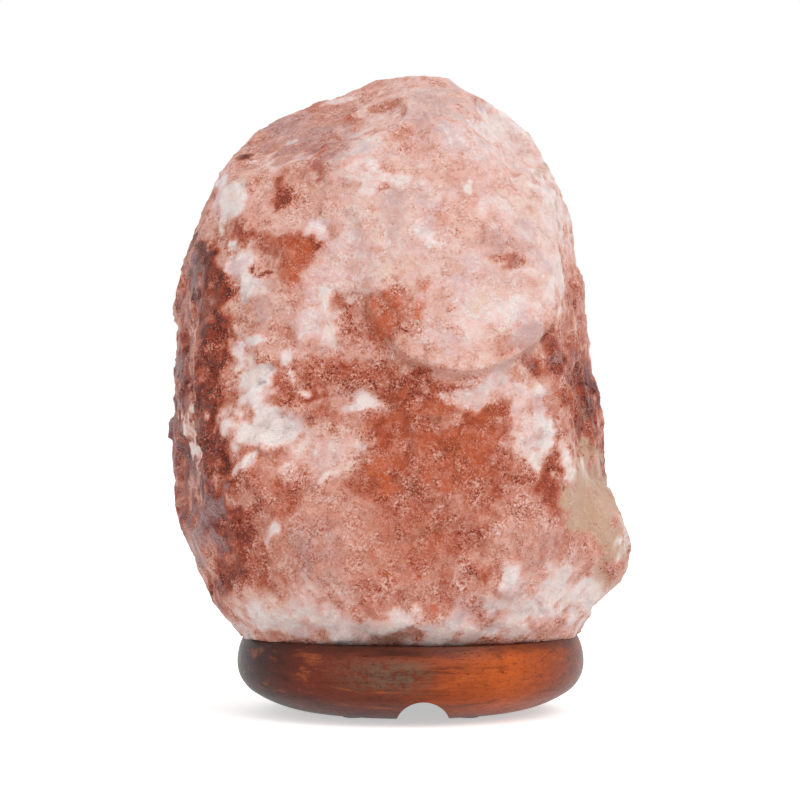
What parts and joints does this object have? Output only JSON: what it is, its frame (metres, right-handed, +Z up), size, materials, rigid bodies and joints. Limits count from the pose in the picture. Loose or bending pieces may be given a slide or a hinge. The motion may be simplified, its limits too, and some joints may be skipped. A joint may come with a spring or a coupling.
{
  "type": "salt crystal lamp",
  "caption": "Table lamp: a rough block of rock salt, bored from below and screwed to a turned wooden base; a small screw-cap bulb in a spring-clip holder pulls out downwards.",
  "frame": {"origin": "on the table, under the middle of the lamp's bounding box", "axes": "+Z up, -Y to the front with the cord notch, +X to the right as seen from the front"},
  "size_m": [0.1715, 0.1444, 0.237],
  "materials": {
    "rock_salt": "rough broken rock salt, pink to orange-brown, slightly translucent",
    "turned_wood": "reddish brown stained hardwood, satin lacquer",
    "felt": "dark grey felt",
    "zinc_steel": "bright zinc plate",
    "spring_steel": "nickel-plated spring steel",
    "brass": "bright brass",
    "white_moulding": "white moulded plastic, semi-gloss",
    "grip_nylon": "white nylon",
    "ceramic_block": "white steatite, matt",
    "nickel_cap": "nickel-plated brass",
    "solder": "tin solder",
    "black_glass": "black glass insulator",
    "bulb_glass": "clear thin glass",
    "stem_glass": "clear lead glass",
    "wire": "nickel wire",
    "tungsten": "grey tungsten"
  },
  "bodies": {
    "stand": {"salt_crystal": "rock_salt", "wood_base": "turned_wood", "foot_pads": "felt", "base_screws": "zinc_steel", "screw_washers": "zinc_steel"},
    "holder": {"clip_bridge": "spring_steel", "entry_nipple": "zinc_steel", "nipple_nut": "zinc_steel", "cord_grip": "grip_nylon", "cord_grip_screw": "zinc_steel", "holder_cap": "white_moulding", "cap_set_screw": "zinc_steel", "contact_carrier": "ceramic_block", "terminal_blocks": "brass", "terminal_screws": "zinc_steel", "shell_strap": "brass", "centre_contact": "brass", "screw_shell": "brass", "holder_skirt": "white_moulding"},
    "left_arm": {"clip_arm_left": "spring_steel"},
    "right_arm": {"clip_arm_right": "spring_steel"},
    "bulb_travel": {"solder_contact": "solder"},
    "bulb": {"cap_insulator": "black_glass", "bulb_cap": "nickel_cap", "bulb_glass": "bulb_glass", "bulb_stem": "stem_glass", "lead_wires": "wire", "filament": "tungsten"}
  },
  "joints": [
    {"name": "holder_pull", "type": "slide", "parent": "stand", "child": "holder", "axis": [0, 0, -1], "range_m": [0, 0.14]},
    {"name": "left_arm_flex", "type": "hinge", "parent": "holder", "child": "left_arm", "pos_m": [-0.01225, 0, 0.0269], "axis": [0, 1, 0], "range_deg": [0, 6], "stiffness_Nm_per_rad": 0.05, "springref_deg": -5.73},
    {"name": "right_arm_flex", "type": "hinge", "parent": "holder", "child": "right_arm", "pos_m": [0.02095, 0, 0.0269], "axis": [0, -1, 0], "range_deg": [0, 6], "stiffness_Nm_per_rad": 0.05, "springref_deg": -5.73},
    {"name": "bulb_lift", "type": "slide", "parent": "holder", "child": "bulb_travel", "axis": [0, 0, 1], "range_m": [0, 0.0127]},
    {"name": "bulb_turn", "type": "hinge", "parent": "bulb_travel", "child": "bulb", "pos_m": [0.00435, 0, 0.06], "axis": [0, 0, 1], "range_deg": [0, 1620]}
  ],
  "couplings": [
    {"joint": "bulb_turn", "follows": "bulb_lift", "rad_per_m": 2226.5}
  ]
}
